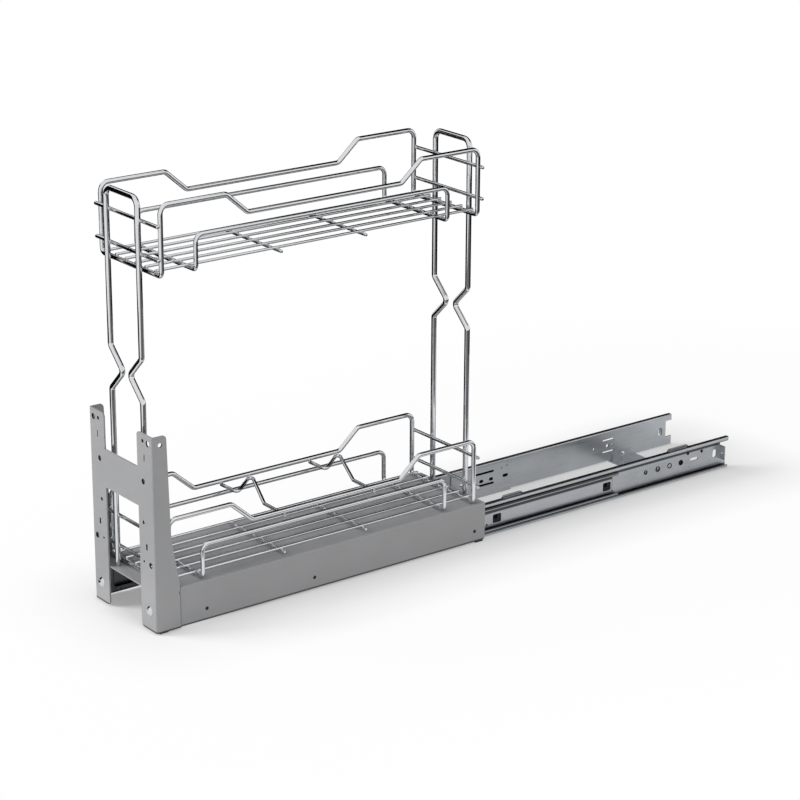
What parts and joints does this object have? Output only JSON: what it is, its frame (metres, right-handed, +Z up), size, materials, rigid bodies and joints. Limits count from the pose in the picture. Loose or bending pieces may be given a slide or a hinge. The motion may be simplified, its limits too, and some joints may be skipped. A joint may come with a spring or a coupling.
{
  "type": "pull-out cabinet basket",
  "caption": "Narrow wire basket unit on ball-bearing runners, with a lower bottle basket, an upper basket and a bracket that carries the cabinet door.",
  "frame": {"origin": "centre of the four floor screw holes, on the cabinet floor", "axes": "+Y from the door towards the cabinet's back, +Z up, +X across the cabinet towards the near runner"},
  "size_m": [0.142, 0.9494, 0.5305],
  "materials": {
    "chrome_wire": "mirror bright plating",
    "zinc_steel": "satin zinc plating",
    "grey_paint": "satin grey powder coat",
    "bright_steel": "polished",
    "black_oxide": "black oxide",
    "black_plastic": "fine matt"
  },
  "bodies": {
    "cabinet_side": {"cabinet_member_near": "zinc_steel", "cabinet_member_far": "zinc_steel", "front_cross_bracket": "zinc_steel", "rear_cross_bracket": "zinc_steel", "cross_bracket_rivets": "bright_steel"},
    "pull_out_unit": {"drawer_member_near": "zinc_steel", "drawer_member_far": "zinc_steel", "base_frame": "grey_paint", "runner_screws": "black_oxide", "glide_pads": "black_plastic", "door_bracket": "grey_paint", "door_bracket_rivets": "bright_steel", "hanger_screws": "bright_steel", "front_hanger": "chrome_wire", "rear_hanger": "chrome_wire", "front_divider": "chrome_wire", "rear_divider": "chrome_wire", "lower_rim_wire": "chrome_wire", "lower_guard_wire": "chrome_wire", "lower_floor_rods": "chrome_wire", "lower_floor_cross_wires": "chrome_wire", "lower_end_wires": "chrome_wire", "upper_rim_wire": "chrome_wire", "upper_guard_wire": "chrome_wire", "upper_floor_rods": "chrome_wire", "upper_floor_cross_wires": "chrome_wire", "upper_end_wires": "chrome_wire"},
    "near_outer_cage": {"outer_ball_cage_near": "zinc_steel", "outer_balls_near": "bright_steel"},
    "near_middle_member": {"middle_member_near": "zinc_steel", "stop_buffers_near": "black_plastic"},
    "near_inner_cage": {"inner_ball_cage_near": "zinc_steel", "inner_balls_near": "bright_steel"},
    "far_outer_cage": {"outer_ball_cage_far": "zinc_steel", "outer_balls_far": "bright_steel"},
    "far_middle_member": {"middle_member_far": "zinc_steel", "stop_buffers_far": "black_plastic"},
    "far_inner_cage": {"inner_ball_cage_far": "zinc_steel", "inner_balls_far": "bright_steel"}
  },
  "joints": [
    {"name": "basket_travel", "type": "slide", "parent": "cabinet_side", "child": "pull_out_unit", "axis": [0, 1, 0], "range_m": [0, 0.44]},
    {"name": "near_outer_cage_travel", "type": "slide", "parent": "cabinet_side", "child": "near_outer_cage", "axis": [0, 1, 0], "range_m": [0, 0.0935]},
    {"name": "near_middle_member_travel", "type": "slide", "parent": "cabinet_side", "child": "near_middle_member", "axis": [0, 1, 0], "range_m": [0, 0.187]},
    {"name": "near_inner_cage_travel", "type": "slide", "parent": "cabinet_side", "child": "near_inner_cage", "axis": [0, 1, 0], "range_m": [0, 0.3135]},
    {"name": "far_outer_cage_travel", "type": "slide", "parent": "cabinet_side", "child": "far_outer_cage", "axis": [0, 1, 0], "range_m": [0, 0.0935]},
    {"name": "far_middle_member_travel", "type": "slide", "parent": "cabinet_side", "child": "far_middle_member", "axis": [0, 1, 0], "range_m": [0, 0.187]},
    {"name": "far_inner_cage_travel", "type": "slide", "parent": "cabinet_side", "child": "far_inner_cage", "axis": [0, 1, 0], "range_m": [0, 0.3135]}
  ],
  "couplings": [
    {"joint": "near_outer_cage_travel", "follows": "basket_travel", "ratio": 0.2125},
    {"joint": "near_middle_member_travel", "follows": "basket_travel", "ratio": 0.425},
    {"joint": "near_inner_cage_travel", "follows": "basket_travel", "ratio": 0.7125},
    {"joint": "far_outer_cage_travel", "follows": "basket_travel", "ratio": 0.2125},
    {"joint": "far_middle_member_travel", "follows": "basket_travel", "ratio": 0.425},
    {"joint": "far_inner_cage_travel", "follows": "basket_travel", "ratio": 0.7125}
  ]
}
